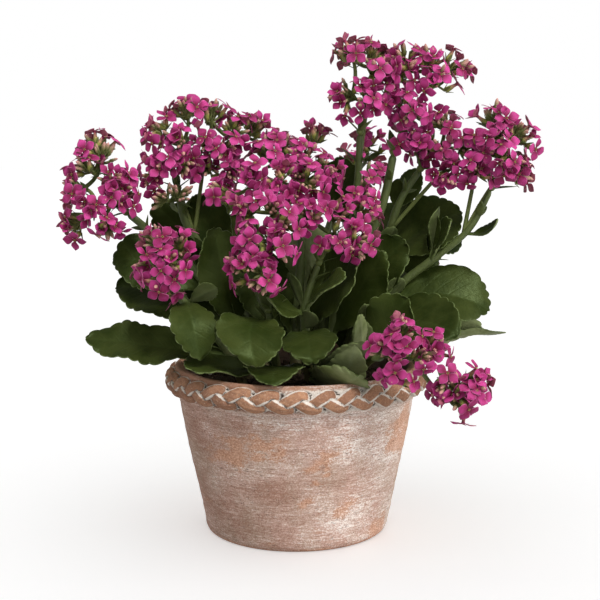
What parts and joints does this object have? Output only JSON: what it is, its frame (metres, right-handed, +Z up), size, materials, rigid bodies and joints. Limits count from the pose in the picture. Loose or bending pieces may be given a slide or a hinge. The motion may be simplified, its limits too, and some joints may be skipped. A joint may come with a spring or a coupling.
{
  "type": "potted kalanchoe",
  "caption": "Flowering succulent pot plant with magenta flower heads and scalloped leaves, in a whitewashed terracotta pot with a plaited rim.",
  "frame": {"origin": "centre of the pot's flat underside", "axes": "+Z up along the pot's axis, -Y towards the side of the plant that the picture shows"},
  "size_m": [0.2904, 0.198, 0.2992],
  "materials": {
    "terracotta": "matte, whitewashed",
    "compost": "matte",
    "stem": "satin",
    "leaf": "satin",
    "petal": "matte"
  },
  "bodies": {
    "root": {"pot": "terracotta", "compost": "compost", "shoot_a": "stem", "shoot_b": "stem", "shoot_c": "stem", "shoot_d": "stem", "shoot_e": "stem", "shoot_f": "stem", "shoot_g": "stem", "shoot_h": "stem", "shoot_j": "stem", "shoot_k": "stem", "shoot_l": "stem", "shoot_m": "stem", "shoot_n": "stem", "shoot_o": "stem", "leaf_back_far_left": "leaf", "leaf_back_far_right": "leaf", "leaf_back_left": "leaf", "leaf_back_middle": "leaf", "leaf_back_right": "leaf", "leaf_front_big": "leaf", "leaf_front_cupped": "leaf", "leaf_front_pair": "leaf", "leaf_front_right": "leaf", "leaf_front_rim": "leaf", "leaf_front_small": "leaf", "leaf_front_under": "leaf", "leaf_front_upright": "leaf", "leaf_left_back": "leaf", "leaf_left_hanging": "leaf", "leaf_left_low": "leaf", "leaf_left_mid": "leaf", "leaf_left_tall": "leaf", "leaf_left_under": "leaf", "leaf_left_upright": "leaf", "leaf_right_big": "leaf", "leaf_right_broad": "leaf", "leaf_right_inner": "leaf", "leaf_right_lower": "leaf", "leaf_right_pair": "leaf", "leaf_right_pale": "leaf", "leaf_right_twin": "leaf", "leaf_right_upright": "leaf", "leaf_top_small": "leaf", "leaf_top_tall": "leaf", "flower_head_back": "petal", "flower_head_back_left": "petal", "flower_head_back_right": "petal", "flower_head_far_left": "petal", "flower_head_front_low": "petal", "flower_head_left": "petal", "flower_head_left_low": "petal", "flower_head_middle": "petal", "flower_head_middle_low": "petal", "flower_head_middle_right": "petal", "flower_head_right_inner": "petal", "flower_head_right_outer": "petal", "flower_head_top_left": "petal", "flower_head_top_right": "petal"}
  },
  "joints": []
}
